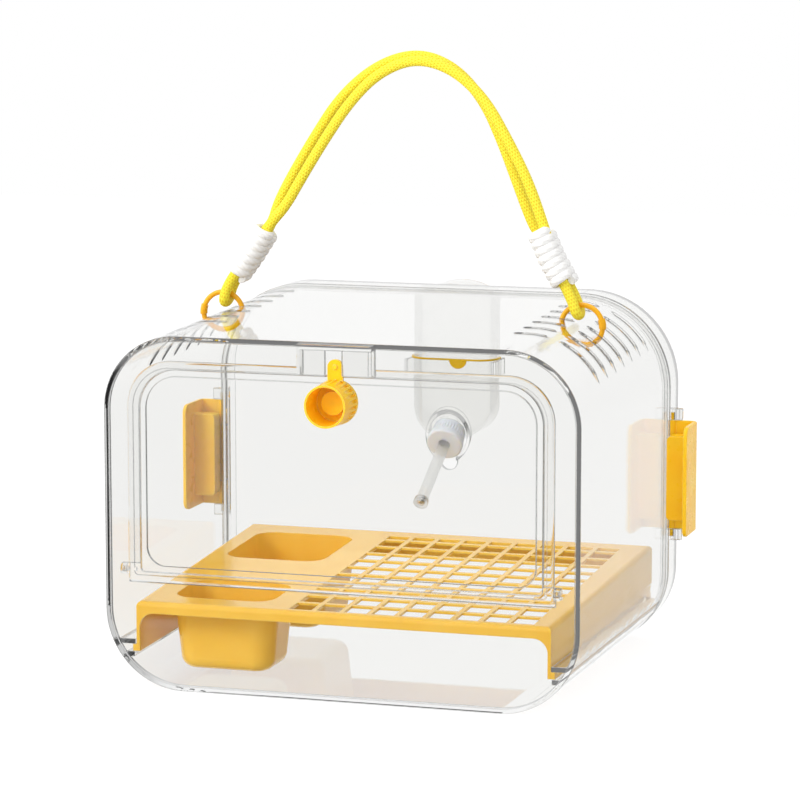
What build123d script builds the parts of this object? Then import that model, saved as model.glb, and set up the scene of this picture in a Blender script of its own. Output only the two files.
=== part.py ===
"""Small-bird travel carrier: clear moulded body, drop-down door, detachable rear cover,
feeding tray on rails, hanging water bottle and a rope handle on two split rings.

Frame: millimetres, +X to the right, +Y to the back, +Z up. The origin is on the floor,
midway between the side latches and midway between the knob's rim and the bottle's back."""
import os
from math import cos, degrees, pi, radians, sin, sqrt, tan

from build123d import *

# ---------------------------------------------------------------- body and cover
body_front_width = 300.0
body_front_height = 219.3
front_top_radius = 46.2
front_bottom_radius = 50.0
body_rear_width = 306.7
body_rear_height = 227.1
rear_top_radius = 58.4
rear_bottom_radius = 47.2
body_depth = 218.6
wall = 3.0
floor_trim = 0.05        # the corner curves would meet this far under the flat underside
rim_width = 3.0          # raised edge round the front panel
rim_step = 1.2
flange_depth = 3.0       # rim that the cover closes on
flange_step = 1.1
flange_foot = 3.0        # the rim ends this high above the floor
cover_gap = 0.3
cover_depth = 22.6
cover_wall = 2.8
cover_plate = 3.0
spigot_length = 6.5      # inner lip of the cover, inside the body
spigot_wall = 1.8
spigot_root = 2.5        # thicker ring inside the cover that carries the lip
spigot_gap = 0.45

# ---------------------------------------------------------------- door and its latch
door_side = 15.4         # from the body's side to the door's edge
door_head = 15.0         # and from its top
door_bottom = 67.4
door_panel = 2.9
door_gap = 0.3
door_top_radius = 28.5
door_bottom_radius = 2.5
door_edge_radius = 1.6
door_lap = 7.1           # how far the door covers the panel beside the opening
door_lap_top = 5.1
opening_radius = 24.5
sill_clearance = 0.9     # under the door's bottom edge, for its swing
notch_clearance = 0.6    # round the keeper, in the door's top edge
border_width = 4.2       # raised border of the door's front
pane_recess = 0.7
plug_gap = 0.45
plug_depth = 2.3         # rib on the door's back, inside the opening
plug_width = 3.9
plug_rise = 5.8          # from the door's bottom edge to the rib
pane_radius = 12.0       # lower corners inside the rib
hinge_rise = 7.6         # from the door's bottom edge to its pegs
door_swing = 100.0
hinge_room = 0.5
peg_radius = 1.5
peg_length = 2.8
ear_thickness = 4.0
ear_radius = 3.4
ear_gap = 0.3
peg_end_gap = 0.3
running_gap = 0.06

keeper_half_width = 23.5
keeper_height = 18.1
keeper_drop = 0.6        # from the roof's edge to the top of the keeper's face
keeper_reach = 9.2       # from the front panel to the keeper's face
keeper_wall = 2.0
keeper_roof = 3.0
keeper_corner = 1.5
keeper_rim_gap = 0.1     # the keeper's top lies this much under the roof's edge
tab_width = 9.6
tab_corner = 4.6
tab_tip = 25.8
tab_gap = 0.5
tab_bump_radius = 1.6

knob_drop = 20.0         # from the door's top edge to the knob's axis
knob_length = 22.1
knob_plate = 2.1         # plain disc behind the grooves, as thick as the tab
knob_rim_band = 1.3      # plain rim in front of the grooves
knob_rim_radius = 12.9
knob_base_radius = 13.9
knob_rim_wall = 1.1
knob_base_wall = 2.7
knob_floor = 3.0
knob_groove_count = 24
knob_groove_radius = 1.2
knob_groove_depth = 0.6
knob_seat_radius = 11.5  # pad on the recessed pane, behind the knob
knob_boss_radius = 7.2
knob_boss_length = 4.0
shaft_radius = 4.1
screw_radius = 1.5
screw_length = 9.0
screw_head_radius = 3.0
screw_head_height = 1.8
slot_width = 0.8
washer_radius = 7.0
washer_thickness = 1.0
washer_gap = 0.35

# ---------------------------------------------------------------- vents and rings
vent_count = 7
vent_first = 62.0
vent_pitch = 21.6
vent_width = 4.6
vent_inner = (92.5, 112.5)
vent_outer = (121.5, 143.5)
ring_x = 118.2
ring_drop = 1.5          # from the roof's outside down to the ring's centre
ring_radius = 13.3
ring_wire = 3.3
ring_vent_count = 3      # vents in front of the one that the rings pass through
sleeve_angle = 172.0
sleeve_half_angle = 13.0
sleeve_wall = 0.7
sleeve_gap = 0.06

# ---------------------------------------------------------------- side latches
latch_height = 71.0
latch_centre = 112.0
latch_pivot_out = 1.1    # pivot line, outside the cover's side
latch_pivot_depth = 3.0  # and behind the cover's front edge
latch_swing_gap = 0.3    # from the open latch to the cover's side
latch_barrel = 3.0
latch_pin_radius = 1.5
latch_pin_length = 5.0
lug_length = 7.2
lug_reach = 6.6          # from the pivot line outwards
lug_corner = 2.4
lug_gap = 0.3
pocket_depth = 2.6       # cut in the cover's side, for the latch's barrel
pocket_reach = 5.6       # from the pivot line backwards
hook_height = 54.8
hook_reach = 17.5        # from pivot line forward to the hook's face
hook_side_gap = 1.0      # from the flange's side to the hook
hook_wall = 2.4          # the hook is a box that is open to the back
hook_gap = 0.3           # from the hook's back to the catch
hook_corner = 3.0
web_thickness = 2.5
wing_out = 14.2          # from the pivot line to the wing's inside
wing_forward = 16.2      # from the hook's face forward to the wing's edge
wing_thickness = 2.4
wing_edge_radius = 0.9
latch_corner = 6.0
latch_bend = 5.0         # between the web and the wing, outside
catch_reach = 2.5        # from the flange's side to the catch's edge
catch_height = 38.0
catch_corner = 1.5

# ---------------------------------------------------------------- tray
tray_front = 5.0
tray_length = 228.4
tray_side_front = 18.1   # from the body's outside to the tray's leg
tray_side_rear = 15.75
tray_front_height = 53.6
tray_rise = 8.4
deck_thickness = 2.2
leg_thickness = 2.2
leg_foot = 22.4
bead_out = 2.4
bead_height = 4.4
skirt_height = 7.2
deck_edge_radius = 3.2
leg_arch_radius = 9.0
grid_side = 8.8          # from the tray's right leg to the grid
grid_front = 10.6
grid_rear = 217.0        # the last row is cut short here
grid_columns = 9
grid_rows = 11
grid_pitch_x = 17.5
grid_pitch_y = 19.8
grid_bar_x = 3.2
grid_bar_y = 3.4
grid_bar_height = 1.5
bowl_wall = 1.8
front_bowl_side = 13.9   # from the tray's left leg
front_bowl_gap = 13.6    # from the grid
front_bowl_front = 20.0
front_bowl_rear = 74.0
front_bowl_low = 8.2
rear_bowl_side = 13.1     # from the tray's left leg at the back
rear_bowl_gap = 18.6
rear_bowl_front = 131.0
rear_bowl_rear = 212.0
rear_bowl_low = 12.8
bowl_corner = 15.0
bowl_corner_loss = 3.0   # the corners are this much tighter at the bottom
bowl_taper = 5.5         # degrees
bowl_bottom_radius = 8.0
rail_thickness = 2.8
rail_gap = 0.35
rail_grip = 1.5          # how far the rails reach over and under the bead

# ---------------------------------------------------------------- bottle
bottle_width = 57.4
bottle_depth = 30.0
bottle_bottom = 124.0
bottle_top = 228.3
bottle_gap = 1.6         # behind the cover
bottle_corner = 13.0
bottle_dome_radius = 42.0
bottle_top_radius = 12.0
bottle_shoulder_radius = 28.0
bottle_wall = 1.4
neck_height = 131.0      # of the neck's line where it meets the cover's outside
neck_tilt = 29.0
neck_radius = 9.0
neck_bore = 6.6
neck_ahead = 13.0        # in front of the cover's outside, along the neck
cap_radius = 10.9
cap_length = 14.6
cap_wall = 1.6
cap_rim_radius = 12.1    # wider end of the cap, round the tube
cap_rim_length = 5.6
cap_rim_edge = 1.4
cap_rib_count = 36
cap_rib_radius = 0.4
cap_rib_length = 5.0
cap_gap = 0.35
neck_hole_gap = 0.9
neck_ring_width = 2.4
neck_ring_length = 3.0
notch_drop = 6.0         # the tube's notch reaches this far under the cap's hole
seal_thickness = 1.5
seal_gap = 0.15
tube_radius = 3.9
tube_bore = 2.9
tube_length = 68.2
tube_lip_radius = 4.8
tube_lip_length = 3.0
tube_overlap = 3.0       # inside the bottle's neck
tube_rim = 1.0           # in front of the ball
tube_mouth_radius = 1.9
ball_radius = 2.6
cradle_height = 10.5
cradle_top = 177.4
cradle_wall = 1.8
cradle_gap = 0.5
cradle_length = 25.0
collar_thickness = 1.2
collar_side_rim = 1.0
collar_front_rim = 1.1
collar_arm = 19.5        # length of the arms on the bottle's sides
collar_gap = 0.1
collar_seat_gap = 0.1
collar_tab_radius = 6.0
collar_tab_offset = 5.3  # to the right of the bottle's middle
collar_tab_thickness = 1.0

# ---------------------------------------------------------------- handle
cord_diameter = 6.6
cord_end_gap = 0.3       # between the cord's two butted ends, under the left wrap
bend_share = 0.45        # of the shorter run at each bend of the cord
wrap_thickness = 2.8
wrap_gap = 0.2
wrap_end_gap = 1.0       # above the bend over the ring
wrap_top_gap = 3.0       # below the route's next point
# The cord's route seen from the front: across, distance of each strand from the
# rings' plane, and height. It starts at the left ring and ends at the right one.
handle_points = [
    (-116.4, 5.75, 225.7),
    (-113.5, 5.25, 237.2),
    (-99.6, 5.25, 255.6),
    (-85.6, 5.25, 277.2),
    (-70.9, 5.25, 304.6),
    (-54.6, 4.8, 330.9),
    (-36.0, 4.2, 356.9),
    (-13.4, 3.6, 376.3),
    (11.0, 3.5, 384.3),
    (34.5, 3.6, 376.8),
    (54.2, 3.8, 357.8),
    (67.9, 4.2, 333.3),
    (79.3, 4.8, 308.6),
    (89.4, 5.25, 281.6),
    (99.5, 5.25, 259.2),
    (112.5, 5.25, 237.2),
    (116.4, 5.75, 225.7),
]

# ---------------------------------------------------------------- worked-out places
reach_front = 2 * door_gap + door_panel + knob_length - rim_step
reach_back = cover_gap + cover_depth + bottle_gap + bottle_depth
front_y = (reach_front - body_depth - reach_back) / 2
panel_y = front_y + rim_step
rear_y = front_y + body_depth
cover_front = rear_y + cover_gap
cover_back = cover_front + cover_depth
vent_y = [front_y + vent_first + vent_pitch * i for i in range(vent_count)]
ring_y = vent_y[ring_vent_count]
beyond = 2 * (body_rear_width + body_rear_height)      # clear of everything
over = 1.0               # how far a cut runs past the face that it opens
weld = 0.5               # how far an added form is sunk into the wall that carries it
shoulder = min(body_front_height - front_top_radius, body_rear_height - rear_top_radius)


def box(x, y, z):
    """Box between the low and high values of each axis."""
    size = (x[1] - x[0], y[1] - y[0], z[1] - z[0])
    centre = ((x[0] + x[1]) / 2, (y[0] + y[1]) / 2, (z[0] + z[1]) / 2)
    return Pos(*centre) * Box(*size)


def along_y(radius, start, end, x=0.0, z=0.0):
    """Cylinder along Y."""
    turned = Rot(X=90) * Cylinder(radius, end - start)
    return Pos(x, (start + end) / 2, z) * turned


def along_x(radius, start, end, y, z):
    """Cylinder along X."""
    return Pos((start + end) / 2, y, z) * (Rot(Y=90) * Cylinder(radius, end - start))


def outline(y, width, low, high, top_radius, bottom_radius):
    """Rounded rectangle standing across Y, flat-bottomed at the height low."""
    half = width / 2
    top, low_r = top_radius, bottom_radius
    edges = [
        Line((-half + low_r, low), (half - low_r, low)),
        RadiusArc((half - low_r, low), (half, low + low_r), -low_r),
        Line((half, low + low_r), (half, high - top)),
        RadiusArc((half, high - top), (half - top, high), -top),
        Line((half - top, high), (-half + top, high)),
        RadiusArc((-half + top, high), (-half, high - top), -top),
        Line((-half, high - top), (-half, low + low_r)),
        RadiusArc((-half, low + low_r), (-half + low_r, low), -low_r),
    ]
    across_y = Plane(origin=(0, y, 0), x_dir=(1, 0, 0), z_dir=(0, -1, 0))
    return across_y * make_face(edges)


def body_share(y, inset=0.0):
    """Size of the body's outside at the depth y, less an inset all round."""
    t = (y - front_y) / body_depth

    def mix(a, b):
        return a + (b - a) * t

    return (
        mix(body_front_width, body_rear_width) - 2 * inset,
        inset - floor_trim,
        mix(body_front_height, body_rear_height) - inset,
        mix(front_top_radius, rear_top_radius) - inset,
        mix(front_bottom_radius, rear_bottom_radius) - inset,
    )


def above(volume, level):
    """What lies above a level, with a flat underside there."""
    return volume & box((-beyond, beyond), (-beyond, beyond), (level, beyond))


def body_volume(start, end, inset=0.0):
    """Solid with the body's tapered outside, between two depths."""
    return above(loft([outline(y, *body_share(y, inset)) for y in (start, end)]), inset)


def straight_volume(start, end, inset=0.0, side=0.0, top=0.0):
    """Solid with the body's rear outline, between two depths; side and top widen it."""
    width, low, high, top_r, low_r = body_share(rear_y, inset)
    face = outline(start, width + 2 * side, low, high + top, top_r + top, low_r + side)
    return above(extrude(face, amount=end - start, dir=(0, 1, 0)), inset)


def roof_level(x, y):
    """Height of the roof's outside over a place on its right shoulder."""
    width, _, high, radius, _ = body_share(y)
    across = x - (width / 2 - radius)
    return high - radius + sqrt(radius**2 - across**2)


def mirror_x(part):
    return mirror(part, about=Plane.YZ)


# ---------------------------------------------------------------- body shell
door_width = body_front_width - 2 * door_side
door_top = body_front_height - door_head
opening_width = door_width - 2 * door_lap
opening_top = door_top - door_lap_top
opening_bottom = door_bottom - sill_clearance
hinge_height = door_bottom + hinge_rise
knob_height = door_top - knob_drop
keeper_top = body_front_height - keeper_drop
keeper_bottom = keeper_top - keeper_height
door_front = panel_y - door_gap - door_panel
door_back = panel_y - door_gap
hinge_y = (door_front + door_back) / 2
tray_half_front = body_front_width / 2 - tray_side_front
tray_half_rear = body_rear_width / 2 - tray_side_rear
leg_slope = (tray_half_rear - tray_half_front) / tray_length


def tray_half(y):
    """Outside of the tray's legs at the depth y, with the tray in place."""
    return tray_half_front + leg_slope * (y - front_y - tray_front)


def door_opening():
    """Opening in the front panel, wider beside the hinge, where the door's foot swings in."""
    half = opening_width / 2
    depth = (front_y - over, panel_y + 2 * wall)
    cutter = box((-half, half), depth, (opening_bottom, opening_top))
    upper = cutter.edges().filter_by(Axis.Y).group_by(Axis.Z)[-1]
    cutter = fillet(upper, opening_radius)
    side = door_width / 2 + ear_gap
    foot_rise = hinge_rise * sin(radians(door_swing - 90)) + door_panel / 2
    notch = box((-side, side), depth, (opening_bottom, hinge_height + foot_rise + hinge_room))
    return cutter + notch


def keeper():
    """Hood that the knob's tab turns behind; a slot lets the upright tab out forwards."""
    face = panel_y - keeper_reach
    half = keeper_half_width
    root = panel_y + weld
    rim_top = body_front_height - keeper_rim_gap
    side = make_face(
        Polyline(
            (face, keeper_bottom),
            (root, keeper_bottom),
            (root, rim_top),
            (front_y, rim_top),
            (face, keeper_top),
            close=True,
        )
    )
    across = Plane(origin=(-half, 0, 0), x_dir=(0, 1, 0), z_dir=(1, 0, 0))
    hood = extrude(across * side, amount=2 * half)
    hood = fillet(hood.edges().filter_by(Axis.Z).group_by(Axis.Y)[0], keeper_corner)
    levels = (keeper_bottom - over, keeper_top - keeper_roof)
    hollow = box((-half + keeper_wall, half - keeper_wall), (face + keeper_wall, panel_y), levels)
    slot_half = tab_width / 2 + tab_gap
    slot = box((-slot_half, slot_half), (face - over, face + keeper_wall + over), levels)
    return hood - hollow - slot


def hinge_ear():
    """Right-hand ear that holds one of the door's pegs."""
    inner = door_width / 2 + ear_gap
    ear = along_x(ear_radius, inner, inner + ear_thickness, hinge_y, hinge_height)
    ear += box(
        (inner, inner + ear_thickness),
        (hinge_y, panel_y + weld),
        (hinge_height - ear_radius, hinge_height + ear_radius),
    )
    return ear


def hinge_ear_bore():
    inner = door_width / 2 + ear_gap
    end = inner + peg_length + peg_end_gap
    return along_x(peg_radius + running_gap, inner - over, end, hinge_y, hinge_height)


def vents():
    """Right-hand slots, cut straight down through the shoulder."""
    low = shoulder - over
    cuts = []
    for y in vent_y:
        for left, right in (vent_inner, vent_outer):
            slot = SlotOverall(right - left, vent_width)
            face = Pos((left + right) / 2, y, low) * slot
            cuts.append(extrude(face, amount=body_rear_height - low + rear_top_radius))
    return cuts


def rails():
    """Right-hand ledges above and below the tray's bead, from the panel to the flange."""
    levels = (
        (leg_foot - rail_gap - rail_thickness, leg_foot - rail_gap),
        (leg_foot + bead_height + rail_gap, leg_foot + bead_height + rail_gap + rail_thickness),
    )
    start, end = front_y + wall, rear_y
    ledges = None
    for low, high in levels:
        grip = rail_gap if low > leg_foot else bead_out - rail_grip
        a = tray_half(start) + grip
        b = tray_half(end) + grip
        out = body_rear_width / 2
        plan = make_face(Polyline((a, start), (out, start), (out, end), (b, end), close=True))
        ledge = extrude(Pos(0, 0, low) * plan, amount=high - low)
        ledges = ledge if ledges is None else ledges + ledge
    return ledges & body_volume(front_y, rear_y, wall / 2)


def catch():
    """Right-hand tab of the flange, in front of which the latch's hook lies."""
    side = body_rear_width / 2
    levels = (latch_centre - catch_height / 2, latch_centre + catch_height / 2)
    tab = box((side - weld, side + flange_step + catch_reach), (rear_y - flange_depth, rear_y), levels)
    return fillet(tab.edges().filter_by(Axis.Y).group_by(Axis.X)[-1], catch_corner)


def body_shell():
    shell = body_volume(front_y, rear_y)
    flange = straight_volume(rear_y - flange_depth, rear_y, 0, flange_step, flange_step)
    shell += above(flange, flange_foot)
    tab = catch()
    shell = shell + tab + mirror_x(tab)
    hollow = body_volume(panel_y + wall, rear_y + 2 * wall, wall)
    shell -= hollow
    shell -= body_volume(front_y - over, panel_y, rim_width)
    shell += keeper()
    ear = hinge_ear()
    shell = shell + ear + mirror_x(ear)
    shell -= door_opening()
    bore = hinge_ear_bore()
    shell = shell - bore - mirror_x(bore)
    ledge = rails()
    shell = shell + ledge + mirror_x(ledge)
    for cut in vents():
        shell = shell - cut - mirror_x(cut)
    return shell


# ---------------------------------------------------------------- door, knob and screw
def upright_plate(half, low, high, start, end, top_radius, bottom_radius):
    plate = box((-half, half), (start, end), (low, high))
    levels = plate.edges().filter_by(Axis.Y).group_by(Axis.Z)
    plate = fillet(levels[-1], top_radius)
    levels = plate.edges().filter_by(Axis.Y).group_by(Axis.Z)
    return fillet(levels[0], bottom_radius)


def front_door():
    half = door_width / 2
    door = upright_plate(
        half, door_bottom, door_top, door_front, door_back, door_top_radius, door_bottom_radius
    )
    door = fillet(door.faces().sort_by(Axis.Y)[0].edges(), door_edge_radius)
    plug_half = opening_width / 2 - plug_gap
    plug_bottom = door_bottom + plug_rise
    plug_top = opening_top - plug_gap
    rib = upright_plate(
        plug_half,
        plug_bottom,
        plug_top,
        door_back - door_panel / 4,
        door_back + plug_depth + door_gap,
        opening_radius - plug_gap,
        door_bottom_radius,
    )
    rib -= upright_plate(
        plug_half - plug_width,
        plug_bottom + plug_width,
        plug_top - plug_width,
        door_back - door_panel,
        door_back + plug_depth + over,
        opening_radius - plug_gap - plug_width,
        pane_radius,
    )
    door += rib
    door -= upright_plate(
        half - border_width,
        door_bottom + border_width,
        door_top - border_width,
        door_front - over,
        door_front + pane_recess,
        door_top_radius - border_width,
        door_bottom_radius,
    )
    notch_half = keeper_half_width + notch_clearance
    notch_low = keeper_bottom - notch_clearance
    door -= box((-notch_half, notch_half), (door_front - over, door_back), (notch_low, beyond))
    door += along_y(knob_seat_radius, door_front, door_back - door_panel / 4, z=knob_height)
    peg = along_x(peg_radius, half - 2 * peg_length, half + peg_length, hinge_y, hinge_height)
    door = door + peg + mirror_x(peg)
    return door - along_y(shaft_radius + running_gap, door_front - over, door_back + over, z=knob_height)


knob_back = door_front - door_gap
knob_front = knob_back - knob_length
washer_front = door_back + washer_gap


def latch_knob():
    """Hollow ribbed grip, open to the front, with the tab and the shaft on its back."""
    middle = (knob_back + knob_front) / 2
    cone = Rot(X=90) * Cone(knob_base_radius, knob_rim_radius, knob_length)
    grip = Pos(0, middle, knob_height) * cone
    base, rim = knob_base_radius - knob_base_wall, knob_rim_radius - knob_rim_wall
    inside = Pos(0, middle - knob_floor, knob_height) * (Rot(X=90) * Cone(base, rim, knob_length))
    knob = grip - inside
    lean = degrees((knob_base_radius - knob_rim_radius) / knob_length)
    groove_y = (knob_back - knob_plate + knob_front + knob_rim_band) / 2
    groove_out = (knob_base_radius + knob_rim_radius) / 2 + knob_groove_radius - knob_groove_depth
    groove = Rot(X=90) * Cylinder(knob_groove_radius, knob_length - knob_plate - knob_rim_band)
    groove = Pos(0, groove_y, groove_out) * (Rot(X=-lean) * groove)
    for i in range(knob_groove_count):
        knob -= Pos(0, 0, knob_height) * (Rot(Y=360 / knob_groove_count * (i + 0.5)) * groove)
    boss_front = knob_back - knob_floor - knob_boss_length
    knob += along_y(knob_boss_radius, boss_front, knob_back - over, z=knob_height)
    tab_front, tab_back = knob_back - knob_plate, knob_back
    tab = box((-tab_width / 2, tab_width / 2), (tab_front, tab_back), (knob_height, knob_height + tab_tip))
    tab = fillet(tab.edges().filter_by(Axis.Y).group_by(Axis.Z)[-1], tab_corner)
    bump = Pos(0, tab_front, knob_height + tab_tip - tab_corner) * Sphere(tab_bump_radius)
    bump_front = tab_front - tab_bump_radius / 2
    knob += tab + (bump & box((-tab_width, tab_width), (bump_front, tab_back), (0, beyond)))
    knob += along_y(shaft_radius, knob_back - over, washer_front - running_gap, z=knob_height)
    pilot = (washer_front - screw_length - over, washer_front + over)
    return knob - along_y(screw_radius + running_gap, *pilot, z=knob_height)


def knob_washer():
    washer_back = washer_front + washer_thickness
    washer = along_y(washer_radius, washer_front, washer_back, z=knob_height)
    bore = (washer_front - over, washer_back + over)
    return washer - along_y(screw_radius + running_gap, *bore, z=knob_height)


def knob_screw():
    head_front = washer_front + washer_thickness
    head = along_y(screw_head_radius, head_front, head_front + screw_head_height, z=knob_height)
    head = fillet(head.edges().group_by(Axis.Y)[-1], screw_head_height / 3)
    for across in (0, 90):
        slot = Rot(Y=across) * Box(4 * slot_width, 2 * slot_width, slot_width)
        head -= Pos(0, head_front + screw_head_height, knob_height) * slot
    shank_front = washer_front + over - screw_length
    return head + along_y(screw_radius, shank_front, head_front + running_gap, z=knob_height)


# ---------------------------------------------------------------- rear cover
cover_half = body_rear_width / 2 + flange_step
neck_angle = radians(neck_tilt)
pivot_x = cover_half + latch_pivot_out
pivot_y = cover_front + latch_pivot_depth


def neck_frame(distance=0.0):
    """Plane across the neck's line, a distance ahead of the cover's outside; Z looks into the cabin."""
    ahead = Vector(0, -cos(neck_angle), -sin(neck_angle))
    origin = Vector(0, cover_back, neck_height) + ahead * distance
    return Plane(origin=origin, x_dir=(1, 0, 0), z_dir=ahead)


def neck_rod(radius, start, end):
    """Cylinder on the neck's line between two distances ahead of the cover's outside."""
    return neck_frame((start + end) / 2).location * Cylinder(radius, end - start)


def lug(low):
    """Ear on the cover's right side that holds one end of a latch's pivot."""
    depth = (pivot_y - latch_barrel, pivot_y + latch_barrel)
    ear = box((cover_half - cover_wall / 2, pivot_x + lug_reach), depth, (low, low + lug_length))
    return fillet(ear.edges().filter_by(Axis.Z).group_by(Axis.X)[-1], lug_corner)


def lug_levels():
    half = latch_height / 2 + lug_gap
    return latch_centre + half, latch_centre - half - lug_length


def latch_pocket():
    """Recess in the cover's right side between the two lugs."""
    half = latch_height / 2 + lug_gap
    return box(
        (cover_half - pocket_depth, pivot_x + lug_reach),
        (cover_front - over, pivot_y + pocket_reach),
        (latch_centre - half, latch_centre + half),
    )


def cradle():
    """Two arms that the bottle stands between."""
    inner = bottle_width / 2 + cradle_gap
    outer = inner + cradle_wall
    low = cradle_top - cradle_height
    depth = (cover_back - cover_plate / 2, cover_back + cradle_length)
    arms = box((-outer, outer), depth, (low, cradle_top))
    between = (cover_back, cover_back + 2 * cradle_length)
    return arms - box((-inner, inner), between, (low - over, cradle_top + over))


def rear_cover():
    cover = straight_volume(cover_front, cover_back, 0, flange_step, flange_step)
    hollow = straight_volume(cover_front - over, cover_back - cover_plate, cover_wall)
    cover -= hollow
    spigot_start = rear_y - spigot_length
    spigot = body_volume(spigot_start, rear_y, wall + spigot_gap)
    spigot += straight_volume(rear_y, cover_front + spigot_root, wall + spigot_gap)
    spigot += straight_volume(cover_front, cover_front + spigot_root, cover_wall / 2)
    inner = wall + spigot_gap + spigot_wall
    core = body_volume(spigot_start - over, rear_y, inner)
    core += straight_volume(rear_y, cover_front + spigot_root + over, inner)
    cover += spigot - core
    rail_level = leg_foot + bead_height + rail_gap + rail_thickness
    rail_low = leg_foot - rail_gap - rail_thickness - over
    reach = body_rear_width / 2
    inside = tray_half(rear_y) - over
    depth = (spigot_start - over, cover_front + spigot_root + over)
    gate = box((-reach, reach), depth, (rail_low, rail_level + over))
    gate -= box((-inside, inside), (front_y, cover_back), (0, 2 * rail_level))
    cover -= gate & straight_volume(front_y, cover_back, cover_wall)
    pocket = latch_pocket()
    cover = cover - pocket - mirror_x(pocket)
    bore_half = latch_height / 2 + latch_pin_length + lug_gap
    bore = Pos(pivot_x, pivot_y, latch_centre) * Cylinder(latch_pin_radius + running_gap, 2 * bore_half)
    for low in lug_levels():
        ear = lug(low) - bore
        cover = cover + ear + mirror_x(ear)
    cover = cover - bore - mirror_x(bore)
    cover += cradle()
    hole = cap_rim_radius + neck_hole_gap
    ring_depth = (cover_back - cover_plate - neck_ring_length, cover_back - cover_plate / 2)
    ring = neck_rod(hole + neck_ring_width, -bottle_depth, bottle_depth)
    cover += ring & box((-beyond, beyond), ring_depth, (0, beyond))
    cover -= neck_rod(hole, -bottle_depth, 2 * bottle_depth)
    notch = tube_lip_radius + neck_hole_gap
    low = neck_height - hole / cos(neck_angle) - notch_drop
    depth = (cover_back - cover_plate - 2 * neck_ring_length, cover_back + over)
    cover -= box((-notch, notch), depth, (low, neck_height))
    cover -= along_y(notch, *depth, z=low)
    return cover


# ---------------------------------------------------------------- side latches
def latch_right():
    """Clamp on a barrel: a web behind, a wing beside it and a hook in front of the flange."""
    levels = (latch_centre - latch_height / 2, latch_centre + latch_height / 2)
    web_rear = pivot_y + latch_pivot_out - latch_swing_gap
    face_y = pivot_y - hook_reach
    wing_in = pivot_x + wing_out
    wing = box((wing_in, wing_in + wing_thickness), (face_y - wing_forward, web_rear), levels)
    wing = fillet(wing.edges().filter_by(Axis.X).group_by(Axis.Y)[0], latch_corner)
    latch = wing + box((pivot_x, wing_in + weld), (web_rear - web_thickness, web_rear), levels)
    upright = latch.edges().filter_by(Axis.Z).group_by(Axis.Y)[-1].sort_by(Axis.X)[-1]
    latch = fillet(upright, latch_bend)
    latch = fillet(latch.faces().sort_by(Axis.X)[-1].edges().group_by(Axis.Y)[:-1], wing_edge_radius)
    half = hook_height / 2
    hook_in = cover_half + hook_side_gap
    hook_levels = (latch_centre - half, latch_centre + half)
    hook_back = rear_y - flange_depth - hook_gap
    hook = box((hook_in, wing_in + weld), (face_y, hook_back), hook_levels)
    hook = fillet(hook.edges().filter_by(Axis.Y).group_by(Axis.X)[0], hook_corner)
    half -= hook_wall
    hook -= box(
        (hook_in + hook_wall, wing_in),
        (face_y + hook_wall, hook_back + over),
        (latch_centre - half, latch_centre + half),
    )
    latch += hook
    latch += Pos(pivot_x, pivot_y, latch_centre) * Cylinder(latch_barrel, latch_height)
    pin = latch_height + 2 * latch_pin_length
    return latch + Pos(pivot_x, pivot_y, latch_centre) * Cylinder(latch_pin_radius, pin)


# ---------------------------------------------------------------- tray
def tray_plan(inset, low, high, front_inset=0.0):
    """Prism on the tray's tapered plan."""
    start = front_y + tray_front + front_inset
    end = front_y + tray_front + tray_length - front_inset
    a, b = tray_half(start) - inset, tray_half(end) - inset
    plan = make_face(Polyline((-a, start), (a, start), (b, end), (-b, end), close=True))
    return extrude(Pos(0, 0, low) * plan, amount=high - low)


def deck_level(y):
    return tray_front_height + tray_rise * (y - front_y - tray_front) / tray_length


def under_deck(depth):
    """Everything lower than depth under the deck's sloping top."""
    a, b = front_y - tray_front, cover_back + tray_front
    side = make_face(
        Polyline((a, 0), (b, 0), (b, deck_level(b) - depth), (a, deck_level(a) - depth), close=True)
    )
    across = Plane(origin=(-beyond, 0, 0), x_dir=(0, 1, 0), z_dir=(1, 0, 0))
    return extrude(across * side, amount=2 * beyond)


grid_left = tray_half_front - grid_side - grid_columns * grid_pitch_x


def front_bowl(inset=0.0):
    left = front_bowl_side - tray_half_front
    right = grid_left - front_bowl_gap
    return bowl_block(left, right, front_bowl_front, front_bowl_rear, inset, front_bowl_low)


def rear_bowl(inset=0.0):
    left = rear_bowl_side - tray_half_rear
    right = grid_left - rear_bowl_gap
    return bowl_block(left, right, rear_bowl_front, rear_bowl_rear, inset, rear_bowl_low)


def bowl_block(left, right, front, rear, inset, underside):
    """Tapered rounded block of one bowl, less an inset, from its underside up past the deck."""
    low = underside + inset
    top = tray_front_height + tray_rise
    height = top - low
    shrink = 2 * (height * tan(radians(bowl_taper)) + inset)
    centre = ((left + right) / 2, front_y + (front + rear) / 2)
    corner = bowl_corner - inset
    upper = Pos(*centre, top) * RectangleRounded(right - left - 2 * inset, rear - front - 2 * inset, corner)
    lower = Pos(*centre, low) * RectangleRounded(
        right - left - shrink, rear - front - shrink, corner - bowl_corner_loss
    )
    block = loft([lower, upper])
    return fillet(block.edges().group_by(Axis.Z)[0], bowl_bottom_radius - inset)


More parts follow.
